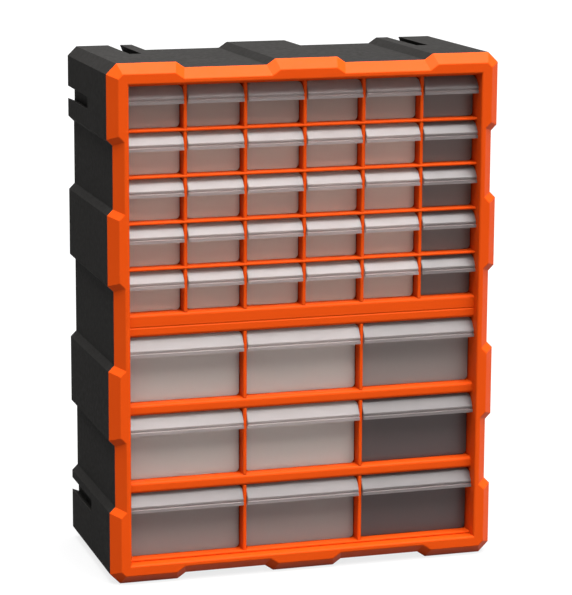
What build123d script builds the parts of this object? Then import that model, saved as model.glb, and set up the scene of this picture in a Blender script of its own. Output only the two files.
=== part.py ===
from build123d import *
from math import hypot
import os

# Parts bin cabinet: a dark rear casing, an orange front frame with its grid of
# cells, thirty small drawers above and nine large drawers below.
# Millimetres. X runs to the right, the front faces -Y, Z is up, and the origin
# is at the middle of the footprint, on the surface that the cabinet stands on.
# A "depth" is measured backwards from the front plane of the frame.

# --- grid of cells ---------------------------------------------------------
small_columns = 6
small_rows = 5
large_rows = 3
small_per_large = 2             # small columns above one large column
small_cell_width = 53.4
small_cell_height = 40.0
large_cell_height = 63.4
divider = 3.6                   # upright walls between the cells
small_shelf = 2.4               # plates between the small rows
large_shelf = 10.5              # hollow shelves between the large rows
mid_rail = 21.6                 # hollow rail between small and large drawers
side_margin = 18.8              # from the cells to the outside, each side
bottom_margin = 21.2
top_margin = 21.4
cabinet_depth = 170.0

# --- front frame -----------------------------------------------------------
bevel_width = 9.0               # sloping border round the front face
bevel_depth = 9.5
frame_shell = 2.4               # thickness of the frame's moulded walls
well_wall = 2.0                 # wall round the block of cells
grid_recess = 10.6              # front of the shelves behind the front plane
grid_depth = 39.8               # front to back of the shelves and dividers
divider_setback = 0.6           # dividers stand behind the shelf noses
small_nose_radius = 1.0
large_nose_radius = 3.0
divider_nose_radius = 1.2
rail_groove_radius = 1.2        # fine line scored along the wide rail
rail_groove_depth = 0.4
rail_groove_rise = 9.2          # above the underside of the rail
stop_drop = 2.0                 # lip under each shelf that stops the drawers' tails
stop_thickness = 1.6
edge_easing = 0.7               # softened edge round the flat front face
mouth_radius = 2.0              # rounding where the front face turns into the cells
skirt_thickness = 2.0           # tongue that plugs into the casing's mouth
skirt_length = 12.0
skirt_gap = 0.3                 # play between skirt and casing

# --- outline shared by casing and frame -------------------------------------
pad_rise = 5.4                  # raised pads stand proud of the plain walls
corner_chamfer = 9.6
corner_pad_width = 64.8         # along the top and bottom
middle_pad_width = 59.4
flat_ramp = 8.0                 # slope from pad to plain wall, top and bottom
corner_pad_height = 68.6        # along the sides
side_pad_height = 65.0
side_pad_start = 137.6          # from either end of the side to the near pad
side_ramp = 5.4

# --- rear casing -----------------------------------------------------------
casing_wall = 2.4
casing_draft = 1.8              # sides and top close in towards the back; the base is level
channel_mouth = 11.6            # dovetail channels for joining clips
channel_undercut = 2.6
channel_depth = 6.3
channel_length = 84.0
channel_wall = 2.0
low_channel_height = 54.5       # centre above the base, on each side
high_channel_drop = 45.0        # centre below the top, on each side
flat_channel_offset = 141.0     # from the middle, on the top and the bottom
rear_rail_depth = 33.0          # rails on the back panel that carry drawer tails
rear_heel_height = 6.0          # step at the back of each rail that stops the tails
rear_heel_gap = 0.4
keyhole_head = 9.0
keyhole_slot = 4.6
keyhole_rise = 8.0
keyhole_offset = 128.0          # from the middle, each side
keyhole_above_shelf = 17.0      # head centre above the floor of the second row

# --- snap catches between frame and casing -----------------------------------
catch_width = 14.0
catch_length = 4.0
catch_height = 1.2
catch_setback = 6.0             # catch centre behind the frame's back edge
catch_play = 0.4
flat_catch_offset = 76.0        # from the middle, on the top and the bottom
side_catch_height = 103.0       # from either end, on the sides

# --- drawers ---------------------------------------------------------------
face_recess = 10.8              # drawer face behind the shelf fronts
lip_overhang = 2.8              # lip in front of the shelf fronts
drawer_side_gap = 1.2
drawer_floor_gap = 0.5
drawer_top_gap = 0.6            # over the lip and the tail stop
drawer_tail_gap = 4.2           # from the tail to the back panel
side_wall_drop = 3.2            # side walls lower than the top of the lip
tail_stop_width = 16.0          # raised tab in the middle of the tail wall
lip_end_gap = 0.3
lip_corner_radius = 4.5
lip_sheet = 1.4                 # thickness of the lip
lip_top = 5.0                   # level band along the top of the lip, in front of the face
lip_bead = 2.6                  # bead along the lower edge of the lip
lip_groove = 1.8                # groove above the bead
lip_crest = 1.4                 # upright band above the groove
lip_crest_radius = 0.9
lip_relief = 0.9                # step between bead, groove and crest
drawer_bottom_radius = 4.0
drawer_corner_radius = 2.2
small_lip_height = 16.2
large_lip_height = 17.8
small_drawer_wall = 1.4
large_drawer_wall = 1.6

# --- sizes that follow -------------------------------------------------------
large_columns = small_columns // small_per_large
small_pitch = small_cell_width + divider
large_pitch = small_per_large * small_pitch
large_cell_width = large_pitch - divider
opening_width = small_columns * small_pitch - divider
overall_width = opening_width + 2 * side_margin
rail_bottom = bottom_margin + large_rows * (large_cell_height + large_shelf) - large_shelf
rail_top = rail_bottom + mid_rail
opening_top = rail_top + small_rows * (small_cell_height + small_shelf) - small_shelf
overall_height = opening_top + top_margin
grid_back = grid_recess + grid_depth
skirt_end = bevel_depth + skirt_length
face_depth = grid_recess + face_recess
panel_depth = cabinet_depth - casing_wall
tail_depth = panel_depth - drawer_tail_gap
half_width = overall_width / 2
half_opening = opening_width / 2
well_bottom = bottom_margin - small_shelf
well_top = opening_top + small_shelf


def small_floor(row):
    """Height of the floor of a small row, counted from 1 at the top."""
    return rail_top + (small_rows - row) * (small_cell_height + small_shelf)


def large_floor(row):
    """Height of the floor of a large row, counted from 1 at the top."""
    return bottom_margin + (large_rows - row) * (large_cell_height + large_shelf)


def column_centre(column, pitch, columns):
    """Middle of a column, counted from 1 at the left."""
    return (column - (columns + 1) / 2) * pitch


def y_at(depth):
    """Y of a point that lies a depth behind the frame's front plane."""
    return depth - cabinet_depth / 2


def upright(depth):
    """Upright plane at a depth: x to the right, y up, normal to the front."""
    return Plane.XZ.offset(-y_at(depth))


# --- outline ---------------------------------------------------------------
def flat_profile():
    """Stations along the top or bottom: (distance from the left, drop from the pads)."""
    corner = corner_pad_width
    pad_left = half_width - middle_pad_width / 2
    left_half = [
        (corner_chamfer, 0),
        (corner, 0),
        (corner + flat_ramp, pad_rise),
        (pad_left - flat_ramp, pad_rise),
        (pad_left, 0),
    ]
    return left_half + [(overall_width - s, drop) for s, drop in reversed(left_half)]


def side_profile():
    """Stations up a side: (height, drop from the pads)."""
    corner = corner_pad_height
    pad_end = side_pad_start + side_pad_height
    lower_half = [
        (corner_chamfer, 0),
        (corner, 0),
        (corner + side_ramp, pad_rise),
        (side_pad_start - side_ramp, pad_rise),
        (side_pad_start, 0),
        (pad_end, 0),
        (pad_end + side_ramp, pad_rise),
    ]
    return lower_half + [(overall_height - s, drop) for s, drop in reversed(lower_half)]


def outline(inset, draft=0):
    """Corners of the padded outline, anticlockwise from the bottom left.

    Every edge moves in by inset, and those that aren't part of the base by draft as well.
    """
    bottom = [(s - half_width, drop) for s, drop in flat_profile()]
    right = [(half_width - drop, s) for s, drop in side_profile()]
    top = [(half_width - s, overall_height - drop) for s, drop in flat_profile()]
    left = [(drop - half_width, overall_height - s) for s, drop in side_profile()]
    corners = bottom + right + top + left
    edges = []
    for i, (x, z) in enumerate(corners):
        x2, z2 = corners[(i + 1) % len(corners)]
        length = hypot(x2 - x, z2 - z)
        shift = inset if i < len(bottom) - 1 else inset + draft
        edges.append(((z - z2) / length, (x2 - x) / length, shift))
    moved = []
    for i, (x, z) in enumerate(corners):
        ax, az, a = edges[i - 1]
        bx, bz, b = edges[i]
        cross = ax * bz - az * bx
        moved.append((x + (a * bz - b * az) / cross, z + (b * ax - a * bx) / cross))
    return moved


# --- snap catches and dovetail channels ---------------------------------------
def catch_locations():
    """Middle of each catch on the plain walls, turned so that local Y points outwards."""
    found = []
    for side in (-1, 1):
        for end in (-1, 1):
            z = overall_height / 2 + side * (overall_height / 2 - pad_rise)
            found.append(Location((end * flat_catch_offset, z), 90 - 90 * side))
            z = overall_height / 2 + end * (overall_height / 2 - side_catch_height)
            found.append(Location((side * (half_width - pad_rise), z), -90 * side))
    return found


def channel_locations():
    """Mouth of each dovetail channel on the pads, turned so that local Y points outwards."""
    found = []
    for side in (-1, 1):
        x = side * (half_width - casing_draft)
        found.append(Location((x, low_channel_height), -90 * side))
        found.append(Location((x, overall_height - high_channel_drop), -90 * side))
        found.append(Location((side * flat_channel_offset, overall_height - casing_draft), 0))
        found.append(Location((side * flat_channel_offset, 0), 180))
    return found


# --- rear casing -----------------------------------------------------------
def make_rear_casing():
    boss_width = channel_mouth + 2 * channel_undercut + 2 * channel_wall
    boss_length = channel_length + channel_wall
    boss_low = channel_depth + channel_wall
    boss_high = casing_wall / 2
    mouth = channel_mouth / 2
    channel_floor = mouth + channel_undercut
    channel_section = [
        (-mouth, pad_rise),
        (-mouth, 0),
        (-channel_floor, -channel_depth),
        (channel_floor, -channel_depth),
        (mouth, 0),
        (mouth, pad_rise),
    ]
    keyhole_height = small_floor(2) + keyhole_above_shelf
    pocket_length = catch_length + 2 * catch_play
    pocket_low = casing_wall + skirt_gap
    pocket_high = pocket_low - catch_height - catch_play

    with BuildPart() as rear_casing:
        # outer skin and hollow, open at the front
        with BuildSketch(upright(cabinet_depth)):
            Polygon(*outline(0, casing_draft), align=None)
        with BuildSketch(upright(bevel_depth)):
            Polygon(*outline(0), align=None)
        loft(ruled=True)
        with BuildSketch(upright(panel_depth)):
            Polygon(*outline(casing_wall, casing_draft), align=None)
        with BuildSketch(upright(skirt_end)):
            Polygon(*outline(casing_wall), align=None)
        loft(ruled=True, mode=Mode.SUBTRACT)
        with BuildSketch(upright(skirt_end)):
            Polygon(*outline(casing_wall), align=None)
        extrude(amount=skirt_end - bevel_depth, mode=Mode.SUBTRACT)
        # dovetail channels, each in its own boss, open at the back
        with BuildSketch(upright(cabinet_depth)):
            with Locations(*channel_locations()):
                with Locations((0, -(boss_low + boss_high) / 2)):
                    Rectangle(boss_width, boss_low - boss_high)
        extrude(amount=boss_length)
        with BuildSketch(upright(cabinet_depth)):
            with Locations(*channel_locations()):
                Polygon(*channel_section, align=None)
        extrude(amount=channel_length, mode=Mode.SUBTRACT)
        # keyholes for hanging on a wall
        with BuildSketch(upright(cabinet_depth)):
            for side in (-1, 1):
                with Locations((side * keyhole_offset, keyhole_height)):
                    Circle(keyhole_head / 2)
                with Locations((side * keyhole_offset, keyhole_height + keyhole_rise / 2)):
                    SlotCenterToCenter(keyhole_rise, keyhole_slot, rotation=90)
        extrude(amount=casing_wall, mode=Mode.SUBTRACT)
        # pockets for the frame's catches
        with BuildSketch(upright(bevel_depth + catch_setback + pocket_length / 2)):
            with Locations(*catch_locations()):
                with Locations((0, -(pocket_low + pocket_high) / 2)):
                    Rectangle(catch_width + 2 * catch_play, pocket_low - pocket_high)
        extrude(amount=pocket_length, mode=Mode.SUBTRACT)
    rear_casing.part.label = "rear_casing"
    return rear_casing.part


def make_rear_rails():
    """Angle rails on the back panel: a plate that carries the drawers' tails, with a heel behind."""
    rail_tops = [small_floor(row) for row in range(1, small_rows + 1)]
    rail_tops += [large_floor(row) for row in range(1, large_rows + 1)]
    back = y_at(panel_depth)
    front = back - rear_rail_depth
    heel = drawer_tail_gap - rear_heel_gap
    with BuildPart() as rear_rails:
        for top in rail_tops:
            section = [
                (front, top - small_shelf),
                (back, top - small_shelf),
                (back, top + rear_heel_height),
                (back - heel, top + rear_heel_height),
                (back - heel, top),
                (front, top),
            ]
            with BuildSketch(Plane.YZ):
                Polygon(*section, align=None)
            extrude(amount=half_opening, both=True)
    rear_rails.part.label = "rear_rails"
    return rear_rails.part


# --- front frame -----------------------------------------------------------
def make_front_frame():
    """Bevelled border, skirt with its catches, and the wall round the cells."""
    skirt_outside = casing_wall + skirt_gap
    skirt_inside = skirt_outside + skirt_thickness
    catch_high = skirt_outside - catch_height
    well_height = well_top - well_bottom
    well_middle = (well_top + well_bottom) / 2
    with BuildPart() as front_frame:
        # bevelled border, hollow behind
        with BuildSketch(upright(bevel_depth)):
            Polygon(*outline(0), align=None)
        with BuildSketch(upright(edge_easing / 2)):
            Polygon(*outline(bevel_width - edge_easing / 2), align=None)
        loft(ruled=True)
        with BuildSketch(upright(edge_easing / 2)):
            Polygon(*outline(bevel_width - edge_easing / 2), align=None)
        with BuildSketch(upright(0)):
            Polygon(*outline(bevel_width + edge_easing / 2), align=None)
        loft(ruled=True)
        with BuildSketch(upright(bevel_depth)):
            Polygon(*outline(skirt_inside), align=None)
        with BuildSketch(upright(frame_shell)):
            Polygon(*outline(bevel_width + frame_shell / 2), align=None)
        loft(ruled=True, mode=Mode.SUBTRACT)
        # skirt and catches
        with BuildSketch(upright(skirt_end)):
            Polygon(*outline(skirt_outside), align=None)
            Polygon(*outline(skirt_inside), align=None, mode=Mode.SUBTRACT)
        extrude(amount=skirt_length)
        with BuildSketch(upright(bevel_depth + catch_setback + catch_length / 2)):
            with Locations(*catch_locations()):
                with Locations((0, -(skirt_inside + catch_high) / 2)):
                    Rectangle(catch_width, skirt_inside - catch_high)
        extrude(amount=catch_length)
        # wall round the cells
        with BuildSketch(upright(grid_back)):
            with Locations((0, well_middle)):
                Rectangle(opening_width + 2 * well_wall, well_height + 2 * well_wall)
        extrude(amount=grid_back)
        with BuildSketch(upright(grid_back)):
            with Locations((0, well_middle)):
                Rectangle(opening_width, well_height)
        extrude(amount=grid_back, mode=Mode.SUBTRACT)
        front_edges = front_frame.edges().filter_by_position(Axis.Y, y_at(0) - 0.01, y_at(0) + 0.01)
        fillet(front_edges.sort_by(Edge.length)[-4:], mouth_radius)
    front_frame.part.label = "front_frame"
    return front_frame.part


# --- shelves and dividers ------------------------------------------------------
def make_shelf(top, thickness, stop):
    """Shelf across all the cells: rounded nose, stop lip below, hollow and open behind if thick."""
    back = y_at(grid_back)
    front = y_at(grid_recess)
    thick = thickness > 3 * small_shelf
    with BuildPart() as shelf:
        with BuildSketch(Plane.YZ) as section:
            with Locations(((front + back) / 2, top - thickness / 2)):
                Rectangle(back - front, thickness)
            noses = section.vertices().group_by(Axis.X)[0]
            fillet(noses, large_nose_radius if thick else small_nose_radius)
            if thick:
                with Locations(((front + frame_shell + back) / 2, top - thickness / 2)):
                    Rectangle(back - front - frame_shell, thickness - 2 * small_shelf, mode=Mode.SUBTRACT)
            if stop:
                with Locations((back - stop_thickness / 2, top - thickness - stop_drop / 2)):
                    Rectangle(stop_thickness, stop_drop)
        extrude(amount=half_opening, both=True)
    return shelf.part


def make_shelves():
    plates = [make_shelf(small_floor(row), small_shelf, True) for row in range(1, small_rows)]
    plates.append(make_shelf(well_top, small_shelf, True))
    with BuildPart() as small_shelves:
        for plate in plates:
            add(plate)
    small_shelves.part.label = "small_shelves"

    hollow = [make_shelf(large_floor(row), large_shelf, True) for row in range(1, large_rows)]
    with BuildPart() as large_shelves:
        for plate in hollow:
            add(plate)
    large_shelves.part.label = "large_shelves"

    rail = make_shelf(rail_top, mid_rail, True)
    groove_centre = y_at(grid_recess) + rail_groove_depth - rail_groove_radius
    with BuildPart() as wide_rail:
        add(rail)
        with BuildSketch(Plane.YZ):
            with Locations((groove_centre, rail_bottom + rail_groove_rise)):
                Circle(rail_groove_radius)
        extrude(amount=half_width, both=True, mode=Mode.SUBTRACT)
    wide_rail.part.label = "wide_rail"

    bottom_plate = make_shelf(bottom_margin, small_shelf, False)
    bottom_plate.label = "bottom_plate"
    return [small_shelves.part, large_shelves.part, wide_rail.part, bottom_plate]


def make_dividers(name, floors, height, pitch, count):
    """Upright walls with rounded noses, one for each boundary between two cells."""
    front = y_at(grid_recess + divider_setback)
    back = y_at(grid_back - stop_thickness)
    with BuildPart() as dividers:
        for floor in floors:
            with BuildSketch(Plane.XY.offset(floor)) as section:
                with Locations((0, (front + back) / 2)):
                    with GridLocations(pitch, 0, count, 1):
                        Rectangle(divider, back - front)
                fillet(section.vertices().group_by(Axis.Y)[0], divider_nose_radius)
            extrude(amount=height)
    dividers.part.label = name
    return dividers.part


def make_all_dividers():
    small_floors = [small_floor(row) for row in range(1, small_rows + 1)]
    large_floors = [large_floor(row) for row in range(1, large_rows + 1)]
    return [
        make_dividers("small_dividers", small_floors, small_cell_height, small_pitch, small_columns - 1),
        make_dividers("large_dividers", large_floors, large_cell_height, large_pitch, large_columns - 1),
    ]


# --- drawers, built in the middle of the cabinet with the cell's floor at Z 0 ----
def make_lip(width, top, height):
    """Handle lip: a bent sheet, open underneath, with a cheek at each end."""
    front = y_at(grid_recess - lip_overhang)
    face = y_at(face_depth)
    low = top - height
    bead = low + lip_bead
    groove = bead + lip_groove
    crest = groove + lip_crest
    crest_front = front + lip_relief
    groove_front = front + 2 * lip_relief
    inside = groove_front + lip_sheet
    outer = [
        (face, top),
        (face - lip_top, top),
        (crest_front, crest),
        (crest_front, groove),
        (groove_front, groove - lip_groove / 4),
        (groove_front, bead + lip_groove / 4),
        (front, bead),
        (front, low),
    ]
    sheet = outer + [
        (inside, low),
        (inside, crest - lip_sheet / 2),
        (face - lip_top + lip_sheet / 2, top - lip_sheet),
        (face, top - lip_sheet),
    ]
    cheek = outer + [(face, bead)]
    with BuildPart() as lip:
        with BuildSketch(Plane.YZ) as section:
            Polygon(*sheet, align=None)
            edge = section.vertices().filter_by_position(Axis.X, crest_front - 0.01, crest_front + 0.01)
            fillet(edge.sort_by(Axis.Y)[-1], lip_crest_radius)
        extrude(amount=width / 2, both=True)
        for end in (-1, 1):
            with BuildSketch(Plane.YZ.offset(end * (width - lip_sheet) / 2)) as section:
                Polygon(*cheek, align=None)
                edge = section.vertices().filter_by_position(Axis.X, crest_front - 0.01, crest_front + 0.01)
                fillet(edge.sort_by(Axis.Y)[-1], lip_crest_radius)
            extrude(amount=lip_sheet / 2, both=True)
        with BuildSketch(upright(face_depth)) as front_view:
            with Locations((0, top - height)):
                Rectangle(width, 2 * height)
            fillet(front_view.vertices().group_by(Axis.Y)[-1], lip_corner_radius)
        extrude(amount=face_depth, mode=Mode.INTERSECT)
    return lip.part


def make_tray(width, low, high, front, back, long_radius, end_radius):
    """Block with rounded lower edges: the outside or the inside of a drawer."""
    with BuildPart() as tray:
        with BuildSketch(upright(back)) as section:
            with Locations((0, (low + high) / 2)):
                Rectangle(width, high - low)
            fillet(section.vertices().group_by(Axis.Y)[0], long_radius)
        extrude(amount=back - front)
        tail_edges = tray.faces().sort_by(Axis.Y)[-1].edges()
        fillet(tail_edges.sort_by(Axis.Z)[:-1], end_radius)
    return tray.part


def make_drawer(cell_width, cell_height, wall, lip_height):
    width = cell_width - 2 * drawer_side_gap
    low = drawer_floor_gap
    top = cell_height - drawer_top_gap
    rim = top - side_wall_drop
    tail_low = low + drawer_bottom_radius
    outside = make_tray(width, low, rim, face_depth, tail_depth,
                        drawer_bottom_radius, drawer_corner_radius)
    inside = make_tray(width - 2 * wall, low + wall, top + wall, face_depth + wall, tail_depth - wall,
                       drawer_bottom_radius - wall, drawer_corner_radius - wall / 2)
    lip = make_lip(cell_width - 2 * lip_end_gap, top, lip_height)
    with BuildPart() as drawer:
        add(outside)
        with BuildSketch(upright(face_depth + wall)) as face:
            with Locations((0, (low + top) / 2)):
                Rectangle(width, top - low)
            fillet(face.vertices().group_by(Axis.Y)[0], drawer_bottom_radius)
            fillet(face.vertices().group_by(Axis.Y)[-1], lip_corner_radius - wall)
        extrude(amount=wall)
        with BuildSketch(upright(tail_depth)):
            with Locations((0, (tail_low + top) / 2)):
                Rectangle(tail_stop_width, top - tail_low)
        extrude(amount=wall)
        add(inside, mode=Mode.SUBTRACT)
        add(lip)
    return drawer.part


def place_drawer(shape, name, x, floor):
    """Copy of a drawer moved to its cell."""
    with BuildPart() as drawer:
        with Locations((x, 0, floor)):
            add(shape)
    drawer.part.label = name
    return drawer.part


def make_drawers():
    small = make_drawer(small_cell_width, small_cell_height, small_drawer_wall, small_lip_height)
    large = make_drawer(large_cell_width, large_cell_height, large_drawer_wall, large_lip_height)
    drawers = []
    for row in range(1, small_rows + 1):
        for column in range(1, small_columns + 1):
            x = column_centre(column, small_pitch, small_columns)
            drawers.append(place_drawer(small, f"small_drawer_r{row}c{column}", x, small_floor(row)))
    for row in range(1, large_rows + 1):
        for column in range(1, large_columns + 1):
            x = column_centre(column, large_pitch, large_columns)
            drawers.append(place_drawer(large, f"large_drawer_r{row}c{column}", x, large_floor(row)))
    return drawers


os.makedirs("parts", exist_ok=True)
cabinet = [make_rear_casing(), make_rear_rails(), make_front_frame()]
for part in cabinet + make_shelves() + make_all_dividers() + make_drawers():
    export_step(part, f"parts/{part.label}.step")
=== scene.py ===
from math import radians

import bpy
from mathutils import Matrix, Vector


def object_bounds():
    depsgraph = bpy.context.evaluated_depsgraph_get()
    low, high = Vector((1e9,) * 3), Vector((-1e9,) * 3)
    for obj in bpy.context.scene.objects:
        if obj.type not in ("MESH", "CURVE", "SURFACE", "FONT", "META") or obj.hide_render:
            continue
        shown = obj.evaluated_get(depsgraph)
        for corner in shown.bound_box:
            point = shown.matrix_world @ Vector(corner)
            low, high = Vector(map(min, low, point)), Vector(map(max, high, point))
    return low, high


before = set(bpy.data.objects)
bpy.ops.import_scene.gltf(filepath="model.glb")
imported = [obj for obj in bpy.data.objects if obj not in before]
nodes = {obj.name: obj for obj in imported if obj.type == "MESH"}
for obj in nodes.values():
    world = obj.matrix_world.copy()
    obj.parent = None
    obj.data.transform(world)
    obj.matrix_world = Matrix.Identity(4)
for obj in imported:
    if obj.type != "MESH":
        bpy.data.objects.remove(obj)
cad_low, cad_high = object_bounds()


# --- camera ------------------------------------------------------------------
camera_place = Vector((-0.7544, -2.4118, 0.7691))
camera_turn = radians(-17.49)
camera_tilt = radians(-11.688)
camera_roll = radians(-0.301)
focal_pixels = 2696.5
photo_width = 572

# --- light and floor -----------------------------------------------------------
ambient = 0.24
floor_reach = 12.0
floor_white_share = 0.8
floor_bounce = 0.12             # floor's grey as it lights the cabinet
floor_seen = 0.5                # floor's grey as it is seen
white = (1.0, 1.0, 1.0, 1.0)
lamps = [
    # name, azimuth from the front towards the right, height, spread, strength
    ("lamp_top", 25.0, 78.0, 66.0, 10.3),
    ("lamp_front", 30.0, 26.0, 70.0, 0.55),
    ("lamp_back", 180.0, 30.0, 60.0, 0.9),
]

# --- textures ------------------------------------------------------------------
cloud_scale = 9.0
drawer_cloud_scale = 14.0
drawer_fine_scale = 60.0
grain_height = 0.0002

# --- drawers -------------------------------------------------------------------
lip_depth = 0.0105              # middle of the lip behind the cabinet's front, drawer closed
face_depth = 0.0214             # drawer's face behind the cabinet's front
lip_clearness = 0.84            # share of light that passes through
body_clearness = 0.6
# Painted shade: drawers under the cabinet's top, in the right column and in the lowest row are given a darker
# colour, standing in for the shade inside them.
lip_painted_shade_share = 0.3           # lips get this share of the bodies' painted shade
top_row_painted_shade = 0.3             # small drawers: painted shade under the cabinet's top
right_column_painted_shade = 0.8        # small drawers: painted shade in the right column
large_part_painted_shade = 0.5          # painted shade of the upper right large drawer, and of the lowest row up to the right column
large_full_painted_shade = 0.95         # painted shade of the lower right large drawers


def make_camera():
    data = bpy.data.cameras.new("camera")
    data.sensor_fit = "HORIZONTAL"
    data.sensor_width = 36.0
    data.lens = focal_pixels / photo_width * data.sensor_width
    data.clip_end = 50.0
    camera = bpy.data.objects.new("camera", data)
    turn = Matrix.Rotation(camera_turn, 4, "Z")
    tilt = Matrix.Rotation(camera_tilt, 4, "X")
    roll = Matrix.Rotation(camera_roll, 4, "Y")
    aim = Matrix.Rotation(radians(90), 4, "X")
    camera.matrix_world = Matrix.Translation(camera_place) @ turn @ tilt @ roll @ aim
    bpy.context.scene.collection.objects.link(camera)
    bpy.context.scene.camera = camera


# --- node helpers --------------------------------------------------------------
class Nodes:
    """Short calls for building one material's node tree."""

    def __init__(self, material):
        material.use_nodes = True
        self.tree = material.node_tree
        self.tree.nodes.clear()

    def add(self, kind, inputs=None, **settings):
        node = self.tree.nodes.new(kind)
        for name, value in settings.items():
            setattr(node, name, value)
        for name, value in (inputs or {}).items():
            self.put(node, name, value)
        return node

    def put(self, node, name, value):
        """Sets an input to a value, or links it to an output socket."""
        if isinstance(value, bpy.types.NodeSocket):
            self.tree.links.new(value, node.inputs[name])
        else:
            node.inputs[name].default_value = value

    def noise(self, scale, detail, roughness, vector):
        inputs = {"Scale": scale, "Detail": detail, "Roughness": roughness, "Vector": vector}
        return self.add("ShaderNodeTexNoise", inputs).outputs["Fac"]

    def math(self, operation, a, b):
        return self.add("ShaderNodeMath", {0: a, 1: b}, operation=operation).outputs[0]

    def ramp(self, value, low, high, out_low=0.0, out_high=1.0):
        """Smooth step of a value from out_low to out_high between low and high."""
        inputs = {"Value": value, "From Min": low, "From Max": high, "To Min": out_low, "To Max": out_high}
        node = self.add("ShaderNodeMapRange", inputs, interpolation_type="SMOOTHSTEP")
        return node.outputs["Result"]

    def mix(self, share, a, b):
        node = self.add("ShaderNodeMix", data_type="RGBA")
        for name, value in (("Factor_Float", share), ("A_Color", a), ("B_Color", b)):
            socket = next(s for s in node.inputs if s.identifier == name)
            if isinstance(value, bpy.types.NodeSocket):
                self.tree.links.new(value, socket)
            else:
                socket.default_value = value
        return next(s for s in node.outputs if s.identifier == "Result_Color")

    def output(self, shader):
        self.add("ShaderNodeOutputMaterial", {"Surface": shader})


def linear(red, green, blue):
    """Colour given as 8-bit screen values."""
    def one(v):
        v = v / 255
        return v / 12.92 if v <= 0.04045 else ((v + 0.055) / 1.055) ** 2.4
    return (one(red), one(green), one(blue), 1.0)


# --- materials ---------------------------------------------------------------
def moulded(n, where, tones, fine_scale, grain_scale, gloss, texture, edge):
    """Colour, roughness and normal shared by the moulded plastics.

    tones are the darker and plainer colours and a paler colour painted on edges as a highlight; gloss is the
    range of roughness;
    texture is the strength of the grain; edge is the radius over which edges catch light.
    """
    cloud = n.noise(cloud_scale, 4.0, 0.6, where)
    colour = n.mix(cloud, tones[0], tones[1])
    fine = n.noise(fine_scale, 3.0, 0.6, where)
    grain = n.noise(grain_scale, 2.0, 0.5, where)
    rounded = n.add("ShaderNodeBevel", {"Radius": edge}, samples=4).outputs["Normal"]
    facet = n.add("ShaderNodeNewGeometry").outputs["Normal"]
    facing = n.add("ShaderNodeVectorMath", {0: rounded, 1: facet}, operation="DOT_PRODUCT").outputs["Value"]
    # painted highlight: edges are paled towards the third tone, patchily
    painted_edge_highlight = n.math("MULTIPLY", n.ramp(facing, 0.99, 0.9), n.ramp(fine, 0.35, 0.7, 0.3, 0.8))
    colour = n.mix(painted_edge_highlight, colour, tones[2])
    rough = n.ramp(fine, 0.3, 0.7, *gloss)
    bump = n.add("ShaderNodeBump", {
        "Strength": texture, "Distance": grain_height, "Height": grain, "Normal": rounded,
    })
    return colour, rough, bump.outputs["Normal"]


def frame_orange():
    """Moulded orange plastic: satin, with a faint texture, and paler edges painted as a highlight."""
    material = bpy.data.materials.new("frame_orange")
    n = Nodes(material)
    where = n.add("ShaderNodeTexCoord").outputs["Object"]
    # the third tone is the painted edge highlight
    tones = (linear(204, 68, 12), linear(211, 75, 14), linear(234, 104, 32))
    colour, rough, normal = moulded(n, where, tones, 160.0, 900.0, (0.36, 0.46), 0.08, 0.0005)
    shader = n.add("ShaderNodeBsdfPrincipled", {
        "Base Color": colour, "Roughness": rough, "Normal": normal,
        "IOR": 1.46, "Specular IOR Level": 0.05,
    })
    n.output(shader.outputs["BSDF"])
    return material


def casing_charcoal():
    """Grained charcoal plastic, nearly matte."""
    material = bpy.data.materials.new("casing_charcoal")
    n = Nodes(material)
    where = n.add("ShaderNodeTexCoord").outputs["Object"]
    # the third tone is the painted edge highlight
    tones = (linear(29, 28, 27), linear(35, 34, 33), linear(62, 60, 58))
    colour, rough, normal = moulded(n, where, tones, 220.0, 1400.0, (0.62, 0.74), 0.2, 0.0006)
    shader = n.add("ShaderNodeBsdfPrincipled", {
        "Base Color": colour, "Roughness": rough, "Normal": normal,
        "IOR": 1.5, "Specular IOR Level": 0.008,
    })
    n.output(shader.outputs["BSDF"])
    return material


# darker and paler tone of the clouds in each plastic; the bodies are warmer and pinker than the lips,
# painting the orange of the dividers and shelves seen through the plastic, the small drawers most
lip_tones = (linear(210, 201, 200), linear(219, 210, 209))
body_tones = {
    "small": (linear(226, 201, 187), linear(235, 210, 196)),
    "large": (linear(214, 204, 197), linear(223, 213, 206)),
}
# colour that drawers are darkened towards as painted shade
painted_shade_tone = linear(90, 74, 74)


def blend(a, b, share):
    """Colour that lies a share of the way from a to b."""
    return tuple(x + (y - x) * share for x, y in zip(a, b))


def drawer_frosted(kind, painted_shade):
    """Frosted plastic that lets a blurred view through; painted shade darkens the body more than the lip."""
    material = bpy.data.materials.new(f"{kind}_drawer_frosted_{round(100 * painted_shade)}")
    n = Nodes(material)
    where = n.add("ShaderNodeTexCoord").outputs["Object"]
    cloud = n.noise(drawer_cloud_scale, 3.0, 0.5, where)
    # lip and body colours darkened towards the painted shade
    lip = n.mix(cloud, *[blend(tone, painted_shade_tone, lip_painted_shade_share * painted_shade) for tone in lip_tones])
    tray = n.mix(cloud, *[blend(tone, painted_shade_tone, painted_shade) for tone in body_tones[kind]])
    depth = n.add("ShaderNodeSeparateXYZ", {"Vector": where}).outputs["Y"]
    front = cad_low[1]
    body = n.ramp(depth, front + lip_depth, front + face_depth)
    colour = n.mix(body, lip, tray)
    fine = n.noise(drawer_fine_scale, 2.0, 0.5, where)
    rough = n.ramp(fine, 0.3, 0.7, 0.3, 0.36)
    clear = n.ramp(body, 0.0, 1.0, lip_clearness, body_clearness)
    shader = n.add("ShaderNodeBsdfPrincipled", {
        "Base Color": colour, "Roughness": rough, "Transmission Weight": clear, "IOR": 1.42,
    })
    n.output(shader.outputs["BSDF"])
    return material


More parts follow.
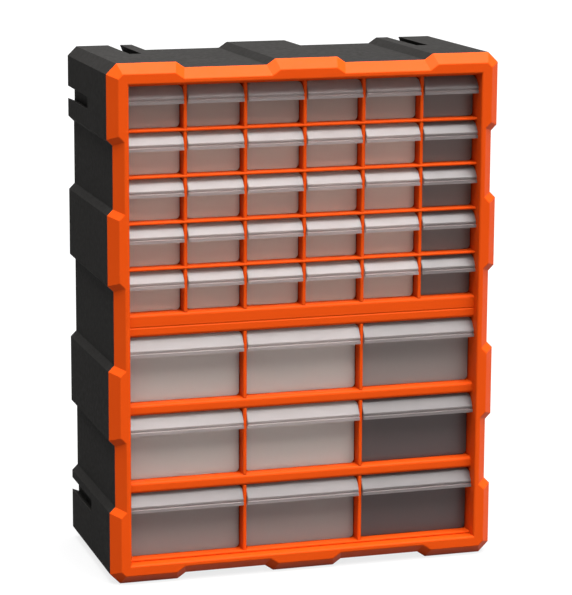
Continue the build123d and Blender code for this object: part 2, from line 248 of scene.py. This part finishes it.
def painted_shade_of(name):
    """How much painted shade a drawer gets: most at the right, and somewhat in the top and the lowest row."""
    kind, _, cell = name.split("_")
    row, column = int(cell[1]), int(cell[3])
    if kind == "small":
        if column == 6:
            return right_column_painted_shade
        return top_row_painted_shade if row == 1 else 0.0
    if column == 3:
        return large_part_painted_shade if row == 1 else large_full_painted_shade
    return large_part_painted_shade if row == 3 else 0.0


def dress(names, material):
    """Gives CAD nodes a material in every slot."""
    for name in names:
        node = nodes[name]
        node.data.materials.clear()
        node.data.materials.append(material)


def dress_cabinet():
    grid = ["small_shelves", "large_shelves", "wide_rail", "bottom_plate", "small_dividers", "large_dividers"]
    drawers = [name for name in nodes if "_drawer_" in name]
    dress(["rear_casing", "rear_rails"], casing_charcoal())
    dress(["front_frame"] + grid, frame_orange())
    # one material for each kind of drawer and each amount of painted shade
    for kind, painted_shade in sorted({(name.split("_")[0], painted_shade_of(name)) for name in drawers}):
        alike = [name for name in drawers if name.startswith(kind) and painted_shade_of(name) == painted_shade]
        dress(alike, drawer_frosted(kind, painted_shade))


# --- floor, world and lamps -----------------------------------------------------
def seen_directly(n):
    """1 for rays from the camera, off glossy surfaces and through plastic; else 0."""
    seen = n.add("ShaderNodeLightPath")
    rays = n.math("MAXIMUM", seen.outputs["Is Camera Ray"], seen.outputs["Is Glossy Ray"])
    return n.math("MAXIMUM", rays, seen.outputs["Is Transmission Ray"])


def make_floor():
    """Pale floor: white where it is seen, with the cabinet's soft shadow on it."""
    mesh = bpy.data.meshes.new("floor")
    corners = [(-floor_reach, -floor_reach, 0), (floor_reach, -floor_reach, 0),
               (floor_reach, floor_reach, 0), (-floor_reach, floor_reach, 0)]
    mesh.from_pydata(corners, [], [(0, 1, 2, 3)])
    floor = bpy.data.objects.new("floor", mesh)
    bpy.context.scene.collection.objects.link(floor)
    material = bpy.data.materials.new("floor_pale")
    n = Nodes(material)
    seen = seen_directly(n)
    bounce = (floor_bounce, floor_bounce, floor_bounce, 1.0)
    shown = (floor_seen, floor_seen, floor_seen, 1.0)
    plain = n.add("ShaderNodeBsdfDiffuse", {"Color": n.mix(seen, bounce, shown)})
    glow = n.add("ShaderNodeEmission", {"Color": white, "Strength": 1.0})
    share = n.math("MULTIPLY", seen, floor_white_share)
    both = n.add("ShaderNodeMixShader", {0: share, 1: plain.outputs[0], 2: glow.outputs[0]})
    n.output(both.outputs[0])
    mesh.materials.append(material)


def make_world():
    """Plain white all round: dim as light, and full white where it is seen."""
    world = bpy.data.worlds.new("world")
    bpy.context.scene.world = world
    n = Nodes(world)
    dim = n.add("ShaderNodeBackground", {"Color": white, "Strength": ambient})
    bright = n.add("ShaderNodeBackground", {"Color": white, "Strength": 1.0})
    both = n.add("ShaderNodeMixShader", {0: seen_directly(n), 1: dim.outputs[0], 2: bright.outputs[0]})
    n.add("ShaderNodeOutputWorld", {"Surface": both.outputs[0]})


def make_sun(name, azimuth, height, spread, strength):
    """Broad soft light from a direction, with its angles in degrees."""
    data = bpy.data.lights.new(name, "SUN")
    data.angle = radians(spread)
    data.energy = strength
    lamp = bpy.data.objects.new(name, data)
    lamp.rotation_euler = (radians(90 - height), 0.0, radians(azimuth))
    bpy.context.scene.collection.objects.link(lamp)


def light_scene():
    make_world()
    make_floor()
    for lamp in lamps:
        make_sun(*lamp)


make_camera()
dress_cabinet()
light_scene()
bpy.context.scene.view_settings.view_transform = "Standard"
